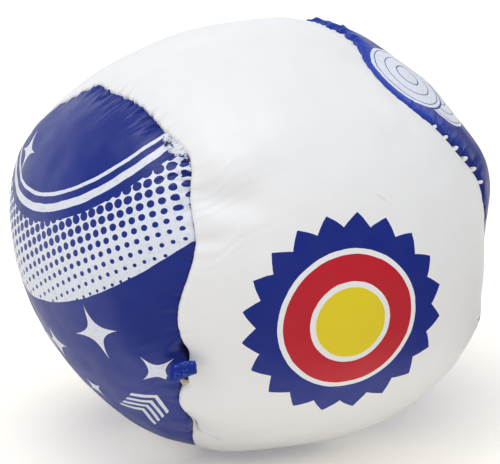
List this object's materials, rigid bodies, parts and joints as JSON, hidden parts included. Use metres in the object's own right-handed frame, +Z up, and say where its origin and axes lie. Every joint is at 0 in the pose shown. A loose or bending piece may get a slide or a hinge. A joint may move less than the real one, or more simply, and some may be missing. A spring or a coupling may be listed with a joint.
{
  "type": "footbag",
  "caption": "Small soft kicking ball: a white and a blue coated-cloth panel sewn edge to edge like a tennis ball's cover, filled with loose pellets and slumped on a flat base.",
  "frame": {"origin": "middle of the bounding box's footprint, on the flat that the base is pressed to", "axes": "+Z up, +X along the longest side, from the printed left lobe to the right lobe; -Y is the side with the hand-closed stretch of seam and the tuck"},
  "size_m": [0.0548, 0.0529, 0.0482],
  "materials": {
    "white_vinyl": "soft gloss coated cloth",
    "blue_vinyl": "soft gloss coated cloth, printed white",
    "knit_backing": "knitted cloth",
    "thread": "spun polyester",
    "pellets": "loose moulded pellets"
  },
  "bodies": {
    "root": {"white_panel": "white_vinyl", "blue_panel": "blue_vinyl", "white_backing": "knit_backing", "blue_backing": "knit_backing", "needle_thread": "thread", "bobbin_thread": "thread", "closing_thread": "thread", "pellet_fill": "pellets"}
  },
  "joints": []
}
